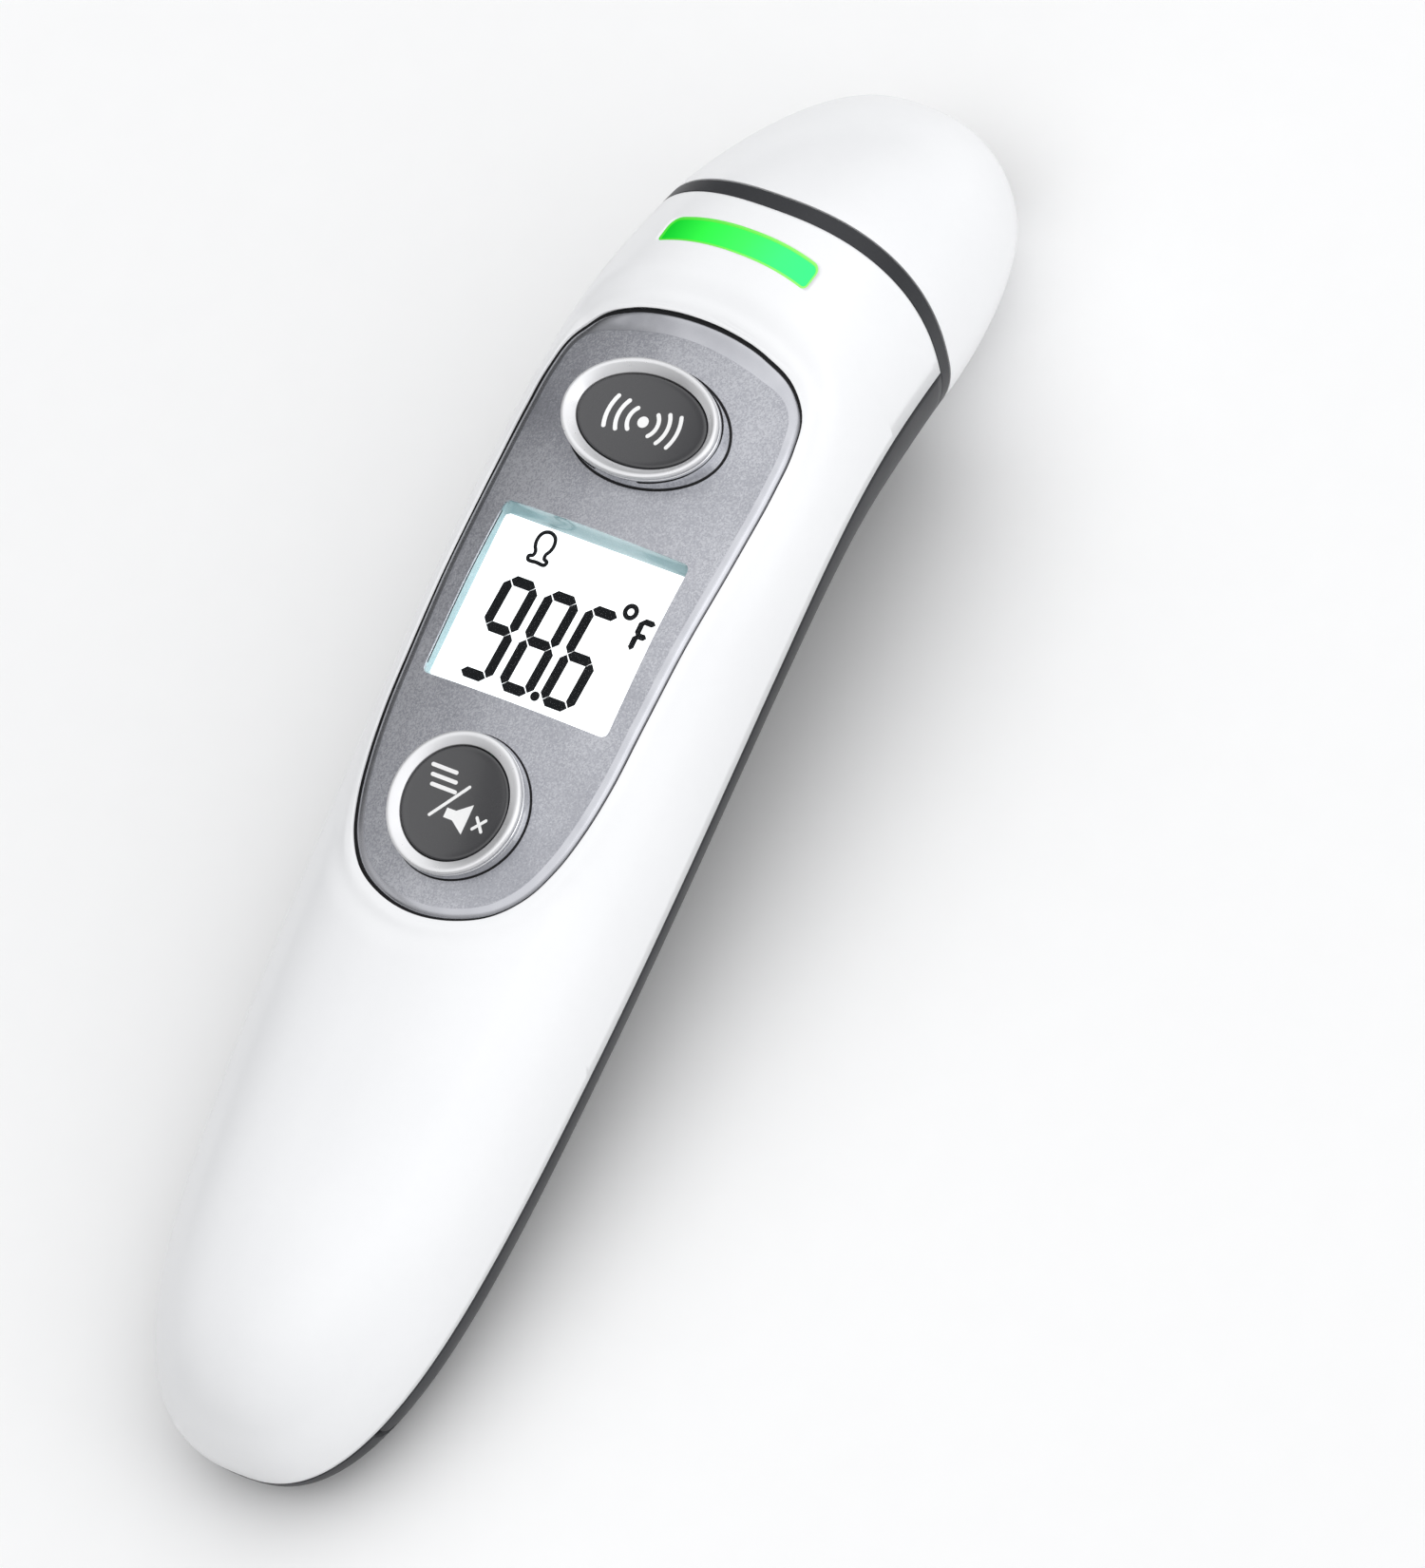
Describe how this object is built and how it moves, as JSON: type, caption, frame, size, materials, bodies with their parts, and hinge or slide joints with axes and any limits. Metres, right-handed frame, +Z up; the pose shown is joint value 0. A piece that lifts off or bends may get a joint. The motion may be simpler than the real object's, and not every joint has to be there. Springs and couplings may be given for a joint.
{
  "type": "digital ear thermometer",
  "caption": "Handheld ear and forehead thermometer with a bent-back head, pull-off forehead cap, lit display, round and oval keys, green light bar and slide-off battery cover.",
  "frame": {"origin": "centre of the bounding box's underside: the table plane the thermometer lies on, under its middle", "axes": "lying on its back: +Z up, the way the display faces; +Y along the handle towards the head; +X across, to the right as the display is read. Mirror-symmetric about X = 0, apart from inner parts"},
  "size_m": [0.0386, 0.1574, 0.0353],
  "materials": {
    "white_shell": "satin white ABS",
    "grey_shell": "fine-textured dark grey ABS",
    "silver_panel": "silver metallic-flake lacquer under a gloss coat",
    "chrome_trim": "bright chrome-plated ABS",
    "key_grey": "dark grey key tops",
    "green_lens": "translucent green lens, lit from behind",
    "clear_cover": "clear hard-coated window",
    "display_glass": "lit white display",
    "inner_white": "natural inner mouldings",
    "board_green": "solder-masked board",
    "black_part": "black moulded component",
    "steel_part": "nickel-plated steel",
    "gold_tube": "gold-plated inner tube",
    "cell_sleeve": "printed sleeve over a metal can",
    "flex_film": "amber flexible film"
  },
  "bodies": {
    "thermometer": {"front_casing": "white_shell", "rear_casing": "grey_shell", "head_collar": "grey_shell", "ear_probe": "white_shell", "probe_window": "clear_cover", "waveguide": "gold_tube", "sensor_sleeve": "inner_white", "thermopile": "steel_part", "sensor_holder": "inner_white", "sensor_board": "board_green", "cap_sensor": "black_part", "sensor_cable": "flex_film", "faceplate": "silver_panel", "faceplate_rim": "chrome_trim", "display_window": "clear_cover", "lcd_glass": "display_glass", "lcd_backlight": "display_glass", "lcd_holder": "inner_white", "lcd_connector": "black_part", "status_light_lens": "green_lens", "light_guide": "display_glass", "status_led": "display_glass", "scan_button_ring": "chrome_trim", "scan_switch": "steel_part", "mode_button_ring": "chrome_trim", "mode_switch": "steel_part", "main_board": "board_green", "main_chip": "black_part", "memory_chip": "black_part", "buzzer": "black_part", "capacitor": "steel_part", "board_screw_1": "steel_part", "board_screw_2": "steel_part", "board_screw_3": "steel_part", "board_screw_4": "steel_part", "battery_tray": "inner_white", "battery_1": "cell_sleeve", "battery_2": "cell_sleeve", "battery_spring_1": "steel_part", "battery_spring_2": "steel_part", "contact_link": "steel_part", "contact_positive": "steel_part", "contact_negative": "steel_part"},
    "cap": {"forehead_cap": "white_shell", "cap_tip_ring": "grey_shell", "cap_magnet": "steel_part"},
    "scan_key": {"scan_button": "key_grey", "scan_plunger": "black_part"},
    "mode_key": {"mode_button": "key_grey", "mode_plunger": "black_part"},
    "cover": {"battery_cover": "grey_shell"}
  },
  "joints": [
    {"name": "cap_pull", "type": "slide", "parent": "thermometer", "child": "cap", "axis": [0, 0.9274, -0.374], "range_m": [0, 0.045]},
    {"name": "scan_press", "type": "slide", "parent": "thermometer", "child": "scan_key", "axis": [0, 0.022, -0.9998], "range_m": [0, 0.0006], "stiffness_N_per_m": 400},
    {"name": "mode_press", "type": "slide", "parent": "thermometer", "child": "mode_key", "axis": [0, 0.1489, -0.9889], "range_m": [0, 0.0006], "stiffness_N_per_m": 400},
    {"name": "cover_slide", "type": "slide", "parent": "thermometer", "child": "cover", "axis": [0, -0.9871, -0.1599], "range_m": [0, 0.066]}
  ]
}
